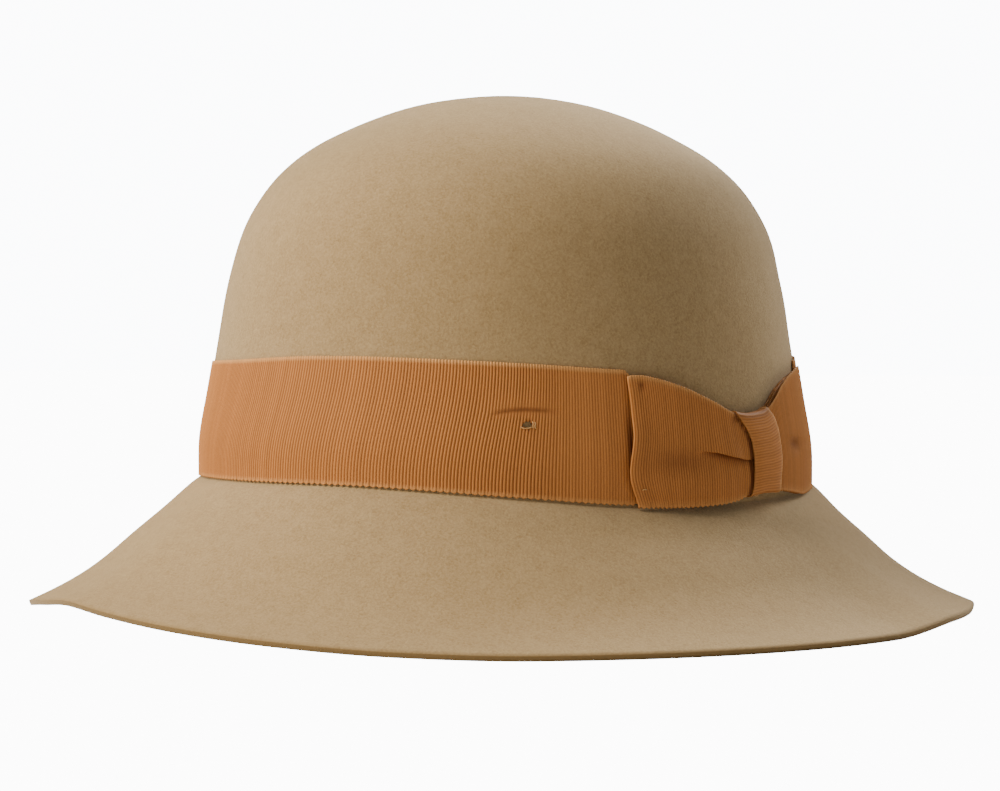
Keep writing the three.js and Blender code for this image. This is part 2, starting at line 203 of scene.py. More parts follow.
# Band: sizes and tables
band = {
    "width": 38,
    "wall": 0.5,
    "clearance": 0.3,
    "ribs": 648,
    "ribDepth": 0.24,
    "scallop": 0.42,  # of the selvedge, where the weft turns back
    # turn, drop of the lower edge, height as a share of the ribbon's width
    "edges": [
        (0, 0, 0.935),
        (10, 0.04, 0.942),
        (20, 0.16, 0.95),
        (40, 0.55, 0.975),
        (60, 0.93, 0.99),
        (72, 1, 0.99),
        (88, 0.9, 0.99),
        (110, 0.74, 0.99),
        (124, 0.5, 0.99),
        (150, 0.2, 0.98),
        (185, 0.04, 0.95),
        (230, 0, 0.92),
        (300, 0, 0.885),
        (340, 0, 0.905),
    ],
    # turn, how far the ribs lean towards the front on their way down
    "lean": [
        (0, 3.9),
        (26, 3.9),
        (36, 3.6),
        (42, 2.4),
        (47, 1),
        (52, 0.3),
        (58, 0),
        (120, 0),
        (200, 1.2),
        (280, 2.6),
        (330, 3.6),
    ],
    # turn, share of the height, depth: the pucker
    "crease": [
        (33.4, 0.598, 0),
        (35.6, 0.624, 0.7),
        (38, 0.645, 0.95),
        (40.3, 0.656, 1),
        (43, 0.658, 0.85),
        (46.2, 0.652, 0),
    ],
    "creaseDepth": 0.36,
    "creaseRow": 0.667,
    "creaseFade": (31, 35, 45, 49),  # turns where the mesh's rows start and stop following it
    "faint": (39, 50, 130, 170),  # turns where the ribs start and stop being less deep
    "faintShare": 0.4,
    "tipShadow": (59.3, 0.7097, 0.45, 0.24, 0.85),  # turn and share across, beside the bow's tip
    "hide": 1.2,  # how far its edges lie inside the bow's
    "gather": (-4.5, -1.5),  # past the bow's tips, where its edges are drawn in
    "holeTurn": 40.2,
    "holeWidth": 2.7,
    "holeRows": (0.528, 0.578),
    "front": [
        0, 0.008, 0.02, 0.045, 0.1, 0.17, 0.25, 0.33, 0.41, 0.48,
        0.528, 0.541, 0.553, 0.565, 0.578, 0.61, 0.643, 0.656, 0.667, 0.678,
        0.692, 0.75, 0.83, 0.91, 0.96, 0.985, 1,
    ],
    "back": [0.99, 0.8, 0.66, 0.578, 0.528, 0.4, 0.2, 0.01],
}

dip = roundColumn(band["edges"], 1)
bandRise = roundColumn(band["edges"], 2)
bandLean = roundColumn(band["lean"])
rimLift = roundColumn(felt["rim"])
crownTop = felt["breakHeight"] + felt["crownHeight"]
crownRows = [Vector(row[:2]) for row in felt["crown"]]
beyond = Vector((crownRows[-2].x, -crownRows[-2].y))


def withLean(samples, rows):
    return [Vector((*spot, column(rows, spot.x, 2))) for spot in samples]


crownSection = withLean(curveThrough([*crownRows, beyond], 24)[:-24], felt["crown"])
crownUps = [section.x for section in crownSection]
brimSection = withLean(curveThrough([Vector(row[:2]) for row in felt["brim"]], 24), felt["brim"])


def brimBreak(turn):
    return felt["breakHeight"] - felt["breakDip"] * atTurn(dip, turn)


def rimHeight(turn):
    return felt["rimLift"] * atTurn(rimLift, turn)


def oval(turn):
    angle = math.radians(turn)
    across = math.sin(angle) / (felt["crownWidth"] / 2)
    along = math.cos(angle) / (felt["crownLength"] / 2)
    return 1 / math.hypot(across, along)


def leanShift(turn, share):
    return felt["lean"] * share * math.cos(math.radians(turn - felt["leanTurn"]))


def pointAt(turn, radius, height):
    angle = math.radians(turn)
    return Vector((radius * math.sin(angle), -radius * math.cos(angle), height))


def crownRadius(turn, height):  # outside of the felt at a height, no lower than the break
    low = brimBreak(turn)
    up = clamp((height - low) / (crownTop - low))
    i = clamp(bisect.bisect_right(crownUps, up) - 1, 0, len(crownUps) - 2)
    share = (up - crownUps[i]) / max(crownUps[i + 1] - crownUps[i], 1e-9)
    section = crownSection[i].lerp(crownSection[i + 1], clamp(share))
    return section.y * (oval(turn) + leanShift(turn, section.z))


def feltPoint(place, turn):  # outside of the felt, place 0 at the top, 1 at the break, 2 at the rim
    low = brimBreak(turn)
    if place <= 1:
        section = atShare(crownSection, 1 - place)
        radius = section.y * (oval(turn) + leanShift(turn, section.z))
        return pointAt(turn, radius, low + (crownTop - low) * section.x)
    section = atShare(brimSection, place - 1)
    drop = low - rimHeight(turn) - felt["rimEdge"]
    reach = math.sqrt(felt["brimSlant"] ** 2 - drop**2)
    radius = oval(turn) + reach * section.x + leanShift(turn, section.z)
    return pointAt(turn, radius, low - drop * section.y)


def insidePoint(place, turn):
    step = 0.004
    around = feltPoint(place, turn + 0.5) - feltPoint(place, turn - 0.5)
    down = feltPoint(min(place + step, 2), turn) - feltPoint(place - step, turn)
    return feltPoint(place, turn) + around.cross(down).normalized() * felt["wall"]


def turnedGrid(rows, steps, closed):
    # A flat grid whose columns are steps round the hat and whose rows are the section's points.
    # Its seams are merged once the points are in their places.
    bm = bmesh.new()
    bmesh.ops.create_grid(bm, x_segments=steps, y_segments=rows if closed else rows - 1, size=0.5)
    return bm


def gridPlace(co, rows, steps, closed):  # column and row of a point of the flat grid
    index = round((co.x + 0.5) * steps)
    row = round((co.y + 0.5) * (rows if closed else rows - 1))
    return index, row % rows


def addPiece(name, bm, material):
    for vert in bm.verts:
        vert.co = (vert.co + axis) * mm
    bmesh.ops.recalc_face_normals(bm, faces=bm.faces)
    for face in bm.faces:
        face.smooth = True
    mesh = bpy.data.meshes.new(name)
    bm.to_mesh(mesh)
    bm.free()
    mesh.materials.append(material)
    piece = bpy.data.objects.new(name, mesh)
    bpy.context.scene.collection.objects.link(piece)
    return piece


# Materials
def hexColour(code):
    parts = [int(code[i : i + 2], 16) / 255 for i in (1, 3, 5)]
    line = [p / 12.92 if p <= 0.04045 else ((p + 0.055) / 1.055) ** 2.4 for p in parts]
    return (*line, 1)


def addNode(nodes, kind, settings=None, inputs=None):
    node = nodes.new(kind)
    for name, value in (settings or {}).items():
        setattr(node, name, value)
    for name, value in (inputs or {}).items():
        if isinstance(value, bpy.types.NodeSocket):
            node.id_data.links.new(value, node.inputs[name])
        else:
            node.inputs[name].default_value = value
    return node


def newMaterial(name):
    material = bpy.data.materials.new(name)
    material.use_nodes = True
    material.node_tree.nodes.clear()
    return material, material.node_tree.nodes


def noiseShare(nodes, place, size, **inputs):  # size of the grains in mm
    given = {"Vector": place, "Scale": 1000 / size, **inputs}
    return addNode(nodes, "ShaderNodeTexNoise", inputs=given).outputs["Fac"]


def mixColours(nodes, share, first, second, blend="MIX"):
    settings = {"data_type": "RGBA", "blend_type": blend}
    return addNode(nodes, "ShaderNodeMix", settings, {0: share, 6: first, 7: second}).outputs[2]


# Wool felt, blocked over steam and brushed: no gloss, fine cloudy fibres, and a short nap that
# goes pale where it is seen or lit along the surface. Its cut edge at the rim has painted shade.
feltLook = {
    "colour": "#a28a62",
    "pale": "#ad956f",
    "dark": "#866e4a",
    # painted shade of the rim's cut edge, which faces outwards and down
    "edge": "#7d6540",
    "fibreSize": 0.7,  # the real fibres are 0.02 mm, clumps this size are what shows
    "cloudSize": 4,
    "roughness": 0.95,
    "nap": 0.44,
}


def woolFelt():
    look = feltLook
    material, nodes = newMaterial("woolFelt")
    place = addNode(nodes, "ShaderNodeTexCoord").outputs["Object"]
    fibres = noiseShare(nodes, place, look["fibreSize"], Detail=4, Roughness=0.62, Distortion=0.6)
    clouds = noiseShare(nodes, place, look["cloudSize"], Detail=3)
    fibreShare = addNode(
        nodes,
        "ShaderNodeMapRange",
        inputs={"Value": fibres, "From Min": 0.32, "From Max": 0.68},
    ).outputs["Result"]
    cloudShare = addNode(
        nodes,
        "ShaderNodeMapRange",
        inputs={"Value": clouds, "From Min": 0.3, "From Max": 0.7, "To Max": 0.25},
    ).outputs["Result"]
    edgeShade = addNode(nodes, "ShaderNodeAttribute", {"attribute_name": "cutEdge"}).outputs["Fac"]
    colour = mixColours(nodes, fibreShare, hexColour(look["dark"]), hexColour(look["colour"]))
    colour = mixColours(nodes, cloudShare, colour, hexColour(look["pale"]))
    # painted shade on the cut edge and, more faintly, on the rim's outer corner
    colour = mixColours(nodes, edgeShade, colour, hexColour(look["edge"]))
    bump = addNode(
        nodes,
        "ShaderNodeBump",
        inputs={"Height": fibres, "Strength": 0.55, "Distance": 0.25 * mm},
    )
    shader = addNode(
        nodes,
        "ShaderNodeBsdfPrincipled",
        inputs={
            "Base Color": colour,
            "Roughness": look["roughness"],
            "IOR": 1.5,
            "Specular IOR Level": 0.15,
            "Sheen Weight": look["nap"],
            "Sheen Roughness": 0.45,
            "Sheen Tint": hexColour("#efdfc0"),
            "Normal": bump.outputs["Normal"],
        },
    )
    addNode(nodes, "ShaderNodeOutputMaterial", inputs={"Surface": shader.outputs["BSDF"]})
    return material


# Grosgrain of rayon over a cotton weft: heavy ribs with a soft shine on their crowns, painted shade
# between them, and a paler selvedge along both edges. More painted shade lies in the pucker, the
# dents, at the hole's ends, beside the bow's front tip, beside the knot, under the pleat and on the
# knot's top bend.
ribbonLook = {
    "crown": "#b87b44",
    # painted shade in the grooves between the ribs
    "shadedGroove": "#74431d",
    "selvedge": "#c9955c",
    # painted shade for the pucker, the dents, the hole's ends and the places beside and under the
    # bow and knot
    "paintedShade": "#4a2312",
    "threadSize": 0.35,  # yarns over each rib
    "roughness": 0.55,
}


def grosgrain():
    look = ribbonLook
    material, nodes = newMaterial("grosgrain")
    place = addNode(nodes, "ShaderNodeTexCoord").outputs["Object"]
    yarns = noiseShare(nodes, place, look["threadSize"], Detail=2)
    marks = {}
    for name in ("shadedGroove", "selvedge", "paintedShade", "toneAndShade"):
        marks[name] = addNode(nodes, "ShaderNodeAttribute", {"attribute_name": name}).outputs["Fac"]
    colour = hexColour(look["crown"])
    # the groove and paintedShade marks lay painted shade over the ribbon's colour; the selvedge is
    # paler
    for name in ("shadedGroove", "selvedge", "paintedShade"):
        colour = mixColours(nodes, marks[name], colour, hexColour(look[name]))
    fleck = addNode(
        nodes,
        "ShaderNodeMapRange",
        inputs={"Value": yarns, "To Min": 0.8, "To Max": 1.2},
    )
    shade = addNode(
        nodes,
        "ShaderNodeMath",
        {"operation": "MULTIPLY"},
        {0: fleck.outputs["Result"], 1: marks["toneAndShade"]},
    )
    colour = mixColours(nodes, 1.0, colour, shade.outputs["Value"], "MULTIPLY")
    bump = addNode(
        nodes,
        "ShaderNodeBump",
        inputs={"Height": yarns, "Strength": 0.3, "Distance": 0.1 * mm},
    )
    shader = addNode(
        nodes,
        "ShaderNodeBsdfPrincipled",
        inputs={
            "Base Color": colour,
            "Roughness": look["roughness"],
            "IOR": 1.35,
            "Specular IOR Level": 0.1,
            "Sheen Weight": 0.02,
            "Sheen Roughness": 0.4,
            "Sheen Tint": hexColour("#ffd9a8"),
            "Normal": bump.outputs["Normal"],
        },
    )
    addNode(nodes, "ShaderNodeOutputMaterial", inputs={"Surface": shader.outputs["BSDF"]})
    return material


# Cotton sewing thread, a little paler than the ribbon.
def sewingThread():
    material, nodes = newMaterial("sewingThread")
    place = addNode(nodes, "ShaderNodeTexCoord").outputs["Object"]
    plies = noiseShare(nodes, place, 0.3)
    colour = mixColours(nodes, plies, hexColour("#b98a4e"), hexColour("#d3ab6e"))
    shader = addNode(
        nodes,
        "ShaderNodeBsdfPrincipled",
        inputs={"Base Color": colour, "Roughness": 0.7, "Sheen Weight": 0.2},
    )
    addNode(nodes, "ShaderNodeOutputMaterial", inputs={"Surface": shader.outputs["BSDF"]})
    return material


feltMaterial = woolFelt()
ribbonMaterial = grosgrain()
threadMaterial = sewingThread()
print("materials made")


# Felt shell: outside from the top to the rim, the cut edge, and the inside back to the top
def buildFelt():
    rings = felt["crownRings"]
    places = [i / rings for i in range(rings)]
    places += [1 + i / felt["brimRings"] for i in range(felt["brimRings"] + 1)]
    rim = len(places)
    edge = felt["cutEdge"]
    inside = [2 - (i + 1) / felt["insideRings"] for i in range(felt["insideRings"] * 2)]
    count = rim + len(edge) + len(inside)
    bm = turnedGrid(count, felt["turns"], False)
    # the cutEdge mask is painted shade: full on the cut edge, a little on the outer corner of the
    # rim
    cutEdge = bm.verts.layers.float.new("cutEdge")
    for vert in bm.verts:
        index, i = gridPlace(vert.co, count, felt["turns"], False)
        turn = index / felt["turns"] * 360
        if i < rim:
            vert.co = feltPoint(places[i], turn)
            vert[cutEdge] = 0.35 * (i == rim - 1)
        elif i < rim + len(edge):
            out, height = edge[i - rim]
            corner = feltPoint(2, turn)
            radius = corner.xy.length + out
            vert.co = pointAt(turn, radius, rimHeight(turn) + height)
            vert[cutEdge] = 1
        elif i == count - 1:
            vert.co = (0, 0, crownTop - felt["wall"])
        else:
            vert.co = insidePoint(inside[i - rim - len(edge)], turn)
    bmesh.ops.remove_doubles(bm, verts=bm.verts, dist=0.001)
    bmesh.ops.recalc_face_normals(bm, faces=bm.faces)
    bm.normal_update()
    for vert in bm.verts:
        turn = math.degrees(math.atan2(vert.co.x, -vert.co.y))
        free = ease(2, 9, vert.co.z - rimHeight(turn))
        shift = sum(height * noise.noise(vert.co / size) for size, height in felt["lumps"])
        vert.co += vert.normal * shift * free
    piece = addPiece("felt_shell", bm, feltMaterial)
    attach(piece, "root")
    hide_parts("felt_body")


def bandEdges(turn):  # under the bow the ribbon is gathered in, so that the bow hides it
    low = brimBreak(turn) + band["clearance"]
    high = low + band["width"] * atTurn(bandRise, turn)
    arc = math.radians(turn - bow["turn"]) * bowRadius
    hidden = 1 - ease(*band["gather"], abs(arc) - halfSpan)
    hideLow = max(low, edgeHeight(arc, 1) + band["hide"])
    hideHigh = min(high, edgeHeight(arc, 2) - band["hide"])
    return low + (hideLow - low) * hidden, high + (hideHigh - high) * hidden


def bandPoint(turn, share, off):  # off is from the back of the ribbon
    low = atTurn(bandLows, turn)
    height = low + share * (atTurn(bandHighs, turn) - low)
    return pointAt(turn, crownRadius(turn, height) + band["clearance"] + off, height)


# Relief of the ribs at a column, four columns a rib: how deep it lies and how much is groove, which
# is also how much painted shade the groove gets.
# Near the lower selvedge the ribs of a pair meet, because the weft turns back there.
def ribRelief(index, nearLoop):
    shadedGroove = (1, 0.3, 0, 0.3)[index % 4]
    if index % 8 == 4:
        shadedGroove *= 1 - nearLoop
    return band["ribDepth"] * shadedGroove, shadedGroove


def selvedgeWave(index, share):  # pairs of ribs end in a loop below, single ribs in one above
    pairGap = (1 + math.cos(index / 8 * math.tau)) / 2
    ribGap = (1 + math.cos(index / 4 * math.tau)) / 2
    below = pairGap * (1 - ease(0, 0.03, share))
    return band["scallop"] * (below - 0.4 * ribGap * ease(0.97, 1, share))


def addMarks(bm):
    return [bm.verts.layers.float.new(name) for name in ("shadedGroove", "selvedge", "paintedShade", "toneAndShade")]


def ribTones(count):
    return [rng.uniform(0.94, 1.06) for _ in range(count)]


def buildBand():
    columns = band["ribs"] * 4
    across = band["front"] + band["back"]
    rows = len(across)
    bm = turnedGrid(rows, columns, True)
    shadedGroove, selvedge, paintedShade, toneAndShade = addMarks(bm)
    tones = ribTones(band["ribs"])
    holeAcross = math.degrees(band["holeWidth"] / 2 / oval(band["holeTurn"]))
    holeLow, holeHigh = band["holeRows"]
    holeFaces = []
    for face in bm.faces:
        corners = [gridPlace(vert.co, rows, columns, True) for vert in face.verts]
        turn = sum(index for index, row in corners) / 4 / columns * 360
        if abs(turn - band["holeTurn"]) > holeAcross:
            continue
        share = sum(across[row] for index, row in corners) / 4
        if not holeLow < share < holeHigh:
            continue
        u = (turn - band["holeTurn"]) / holeAcross
        v = (share * 2 - holeLow - holeHigh) / (holeHigh - holeLow)
        isBack = all(row >= len(band["front"]) for index, row in corners)
        if isBack or u * u + v * v < 0.9:
            holeFaces.append(face)
    bmesh.ops.delete(bm, geom=holeFaces, context="FACES")
    for vert in bm.verts:
        index, row = gridPlace(vert.co, rows, columns, True)
        turn = index / columns * 360
        share = across[row]
        isFront = row < len(band["front"])
        lean = atTurn(bandLean, turn) * (ease(0.04, 0.96, share) - 0.5)
        place = turn + math.degrees(lean / oval(turn))
        if not isFront:
            vert.co = bandPoint(place, share, 0)
            vert[toneAndShade] = 1
            continue
        centre = column(band["crease"], place, 1)
        depth = column(band["crease"], place, 2)
        line = band["creaseRow"]
        follow = share / line if share < line else (1 - share) / (1 - line)
        share += (centre - line) * clamp(follow * 2 - 1) * plateau(band["creaseFade"], place)
        away = share - centre
        nearLoop = 1 - ease(0.01, 0.045, share)
        ribShare = 1 - band["faintShare"] * plateau(band["faint"], place)
        relief, vert[shadedGroove] = [ribShare * value for value in ribRelief(index, nearLoop)]
        # the ribs flatten in the pucker, which has a raised lip above it and painted shade along it
        smooth = 1 - 0.75 * depth * hump(away - 0.004, 0.03)
        relief *= smooth
        vert[shadedGroove] *= smooth
        relief += depth * band["creaseDepth"] * hump(away, 0.015)
        relief -= depth * 0.3 * hump(away - 0.034, 0.018)
        vert[paintedShade] = clamp(depth * 0.62 * hump(away, 0.019))
        # painted shadow on the band beside the bow's front tip, under its fold
        vert[paintedShade] = max(vert[paintedShade], patch(band["tipShadow"], turn, share))
        vert[selvedge] = 0.85 * ease(0.965, 0.99, share) + 0.35 * nearLoop
        vert[toneAndShade] = tones[(index + 2) // 4 % band["ribs"]]
        vert.co = bandPoint(place, share, band["wall"] - relief)
        vert.co.z += selvedgeWave(index, share)
    bmesh.ops.remove_doubles(bm, verts=bm.verts, dist=0.002)
    # The hole's rim goes darker towards its left and right ends: painted shade where the rim's
    # sides lie in shadow.
    holeRim = [edge for edge in bm.edges if edge.is_boundary]
    for edge in holeRim:
        for vert in edge.verts:
            turn = math.degrees(math.atan2(vert.co.x, -vert.co.y))
            vert[paintedShade] = 0.9 * ease(0.3, 0.9, abs(turn - band["holeTurn"]) / holeAcross)
    bmesh.ops.bridge_loops(bm, edges=holeRim)
    piece = addPiece("band_ribbon", bm, ribbonMaterial)
    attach(piece, "root")
    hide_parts("ribbon_band")


# Bow: sizes and tables
bow = {
    "turn": 90,
    "span": 99,
    "ribs": 226,
    "gap": 0.12,  # between layers that lie on each other
    # from the front tip to the rear tip, lower edge, upper edge, as shares of the ribbon's width
    "edges": [
        (-1, -0.02, 0.952),
        (-0.93, -0.021, 0.953),
        (-0.8, -0.024, 0.93),
        (-0.6, -0.025, 0.866),
        (-0.4, -0.016, 0.766),
        (-0.22, 0.012, 0.669),
        (-0.1, 0.05, 0.645),
        (0.05, 0.07, 0.656),
        (0.16, 0.07, 0.7),
        (0.25, 0.06, 0.765),
        (0.4, 0.04, 0.873),
        (0.62, 0.012, 0.955),
        (1, 0.035, 1.01),
    ],
    # the same way, gap between the layers in mm, how far the back stands off for the knot
    "layers": [
        (-1, 0.62, 0.5),
        (-0.8, 1.1, 0.35),
        (-0.55, 2.0, 0.2),
        (-0.3, 2.2, 0.8),
        (-0.15, 1.5, 1),
        (0.15, 1.5, 1),
        (0.3, 1.8, 0.6),
        (0.6, 1.3, 0.1),
        (0.85, 0.75, 0),
        (1, 0.58, 0),
    ],
    # how near the knot the pleat is: its depth and its place across the ribbon
    "pleat": [
        (0, 0.8, 0.46),
        (0.12, 0.8, 0.468),
        (0.24, 1, 0.51),
        (0.36, 0.85, 0.514),
        (0.45, 0.4, 0.5),
        (0.56, 0, 0.472),
    ],
    "pleatRow": 0.44,
    "pleatUnder": 1.2,
    "pleatOver": 0.9,
    "ribShare": 0.75,  # of the band's depth of rib
    "hollow": (0.56, 0.18, 0.4, 0.15, 0.35),  # nearness to the tip and share across
    "tipRise": (0.8, 1),  # nearness to the tip where the front loop stands up
    "backInset": 1,  # how far the back layer's upper edge lies below the front's
    # dents: place along the crown, height, half length, half height, depth, darkness of the painted
    # shade in the dent
    "tucks": [
        (-43.4, 69.8, 1, 1, 0.5, 0.7),
        (-10.5, 60.2, 2, 0.7, 0.5, 0.6),
        (-32, 48.8, 9, 3.2, 0.6, 0.3),
        (24.4, 52.6, 5, 1.8, 0.9, 0.55),
    ],
    # share across the ribbon, how far the front fold lies in from the tip
    "fold": [(0, 3.8), (0.13, 2.2), (0.25, 1.0), (0.58, 2.6), (0.8, 2.6), (1, 2.1)],
    "front": [
        0, 0.01, 0.03, 0.07, 0.13, 0.2, 0.27, 0.33, 0.38, 0.41,
        0.428, 0.436, 0.444, 0.452, 0.47, 0.5, 0.55, 0.62, 0.7, 0.78,
        0.86, 0.92, 0.96, 0.985, 1,
    ],
    "back": [0.99, 0.86, 0.7, 0.55, 0.47, 0.444, 0.436, 0.41, 0.33, 0.2, 0.01],
}

bowRadius = felt["crownWidth"] / 2 + band["clearance"] + band["wall"]
bowBase = brimBreak(bow["turn"])
halfSpan = bow["span"] / 2


def bowPoint(arc, height, off):  # arc along the crown from the knot, off from the band's face
    turn = bow["turn"] + math.degrees(arc / bowRadius)
    radius = crownRadius(turn, height) + band["clearance"] + band["wall"]
    return pointAt(turn, radius + off, height)


def edgeHeight(arc, index):  # index 1 is the lower edge and 2 the upper
    return bowBase + band["width"] * column(bow["edges"], arc / halfSpan, index)


bandLows, bandHighs = zip(*[bandEdges(half / 2) for half in range(720)])


def backOff(at):
    stand = (band["wall"] + bow["gap"]) * column(bow["layers"], at, 2)
    return bow["gap"] + band["wall"] / 2 + stand


def frontOff(at):
    return backOff(at) + column(bow["layers"], at, 1)


def loopSpot(place):  # round the strip: front layer, rear fold, back layer, front fold
    ends = []
    for side in (-1, 1):
        radius = (frontOff(side) - backOff(side)) / 2
        ends.append((side * (halfSpan - radius), (frontOff(side) + backOff(side)) / 2, radius))
    (foreArc, foreOff, foreRadius), (rearArc, rearOff, rearRadius) = ends
    flat = rearArc - foreArc
    lengths = [flat, math.pi * rearRadius, flat, math.pi * foreRadius]
    way = (place % 1) * sum(lengths)
    part = 0
    while part < 3 and way > lengths[part]:
        way -= lengths[part]
        part += 1
    share = way / lengths[part]
    if part == 0:
        arc = foreArc + flat * share
        return Vector((arc, frontOff(arc / halfSpan))), 1
    if part == 2:
        arc = rearArc - flat * share
        return Vector((arc, backOff(arc / halfSpan))), 0
    angle = math.pi * (0.5 - share if part == 1 else 1.5 - share)
    arc, off, radius = ends[1] if part == 1 else ends[0]
    spot = Vector((arc + radius * math.cos(angle), off + radius * math.sin(angle)))
    return spot, (math.sin(angle) + 1) / 2


def buildLoops():
    columns = bow["ribs"] * 4
    shares = bow["front"] + bow["back"]
    bm = turnedGrid(len(shares), columns, True)
    shadedGroove, selvedge, paintedShade, toneAndShade = addMarks(bm)
    tones = ribTones(bow["ribs"])
    spots = []
    for index in range(columns):
        place = index / columns
        spot, isFront = loopSpot(place)
        along = loopSpot(place + 0.0004)[0] - loopSpot(place - 0.0004)[0]
        along.normalize()
        spots.append((spot, Vector((-along.y, along.x)), isFront))
    for vert in bm.verts:
        index, i = gridPlace(vert.co, len(shares), columns, True)
        spot, outward, isFront = spots[index % columns]
        isFace = i < len(bow["front"])
        share = shares[i]
        near = abs(spot.x / halfSpan)
        pleat = column(bow["pleat"], near, 1) * isFront * (spot.x < 0)
        centre = column(bow["pleat"], near, 2)
        row = bow["pleatRow"]
        follow = share / row if share < row else (1 - share) / (1 - row)
        across = share + (centre - row) * follow
        low = edgeHeight(spot.x, 1)
        high = edgeHeight(spot.x, 2) - bow["backInset"] * (1 - isFront)
        height = low + across * (high - low)
        push = 0
        if share < row:
            push -= pleat * bow["pleatUnder"] * clamp(1 - (row - share) / 0.3) ** 2
            height += pleat * 0.5 * hump(row - share, 0.02)
        else:
            over = pleat * bow["pleatOver"] * ease(0.12, 0.26, near)
            push += over * clamp(1 - (share - row) / 0.35) ** 2
            height -= pleat * 0.75 * hump(share - row, 0.035)
        if spot.x < 0:
            push -= patch(bow["hollow"], near, share) * isFront
            push += ease(*bow["tipRise"], near) * hump(share - 0.45, 0.22)
        relief = 0
        nearLoop = 1 - ease(0.01, 0.045, share)
        if isFace:
            relief, vert[shadedGroove] = [bow["ribShare"] * value for value in ribRelief(index, nearLoop)]
            vert[selvedge] = 0.6 * ease(0.95, 0.985, share) + 0.3 * nearLoop
            vert[toneAndShade] = tones[(index + 2) // 4 % bow["ribs"]]
        else:
            vert[toneAndShade] = 0.8
        arc = spot.x
        if arc < 0:
            inward = column(bow["fold"], share, 1)
            arc += inward * ease(0.55, 1, near)
        wall = band["wall"] / 2 if isFace else -band["wall"] / 2
        # the dents push the front layer in and get painted shade
        dentShade = 0
        for tuckArc, tuckHeight, tuckWide, tuckHigh, depth, shadeStrength in bow["tucks"]:
            away = math.hypot((arc - tuckArc) / tuckWide, (height - tuckHeight) / tuckHigh)
            push -= depth * hump(away, 1) * isFront
            dentShade += shadeStrength * hump(away, 1) * isFront
        # Painted shade on the face: the dents' shade, a band just beside the knot's left side, and
        # a line under the pleat's overhanging upper half.
        if isFace:
            vert[paintedShade] = clamp(dentShade)
            up = clamp((height - low) / (high - low))
            knotShade = 0.85 * hump(arc - column(knot["sides"], up, 1) + 0.4, 0.9)
            line = 0.95 * clamp(pleat * 1.2) * hump(row - share, 0.05) * (share < row)
            vert[paintedShade] = max(vert[paintedShade], knotShade, line)
        flat = Vector((arc, spot.y)) + outward * (wall - relief)
        vert.co = bowPoint(flat.x, height, flat.y + push)
        vert.co.z += selvedgeWave(index, share)
    bmesh.ops.remove_doubles(bm, verts=bm.verts, dist=0.002)
    piece = addPiece("bow_ribbon", bm, ribbonMaterial)
    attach(piece, "root")
    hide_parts("bow_loops")


# Knot: sizes and tables
knot = {
    "ribs": 64,
    "ribShare": 0.45,
    "corner": 0.9,
    "bulge": 0.7,
    # share of the way up the front, left edge and right edge from the bow's middle
    "sides": [
        (0, -5.6, 9.6),
        (0.12, -4.7, 9.9),
        (0.45, -4.2, 11.0),
        (0.65, -4.6, 10.8),
        (0.8, -6.0, 9.8),
        (0.9, -7.9, 8.4),
        (1, -9.8, 6.6),
    ],
    "front": [0, 0.02, 0.06, 0.13, 0.22, 0.33, 0.45, 0.57, 0.69, 0.8, 0.89, 0.95, 0.98, 1],
    "back": [0.99, 0.75, 0.5, 0.25, 0.01],
}


def knotPath():  # round the wrap, in (height, off): up the front, over, down behind, under
    out = bow["gap"] + band["wall"] / 2
    low = edgeHeight(0, 1) - out
    high = edgeHeight(0, 2) + out
    front = frontOff(0) + band["wall"] / 2 + out
    corner = knot["corner"]
    centres = [
        (low + corner, front - corner, 180),
        (high - corner, front - corner, 90),
        (high - corner, out + corner, 0),
        (low + corner, out + corner, -90),
    ]
    path = []
    for height, off, start in centres:
        for step in range(0, 91, 18):
            angle = math.radians(start - step)
            path.append(Vector((height + corner * math.cos(angle), off + corner * math.sin(angle))))
    return path, low, high


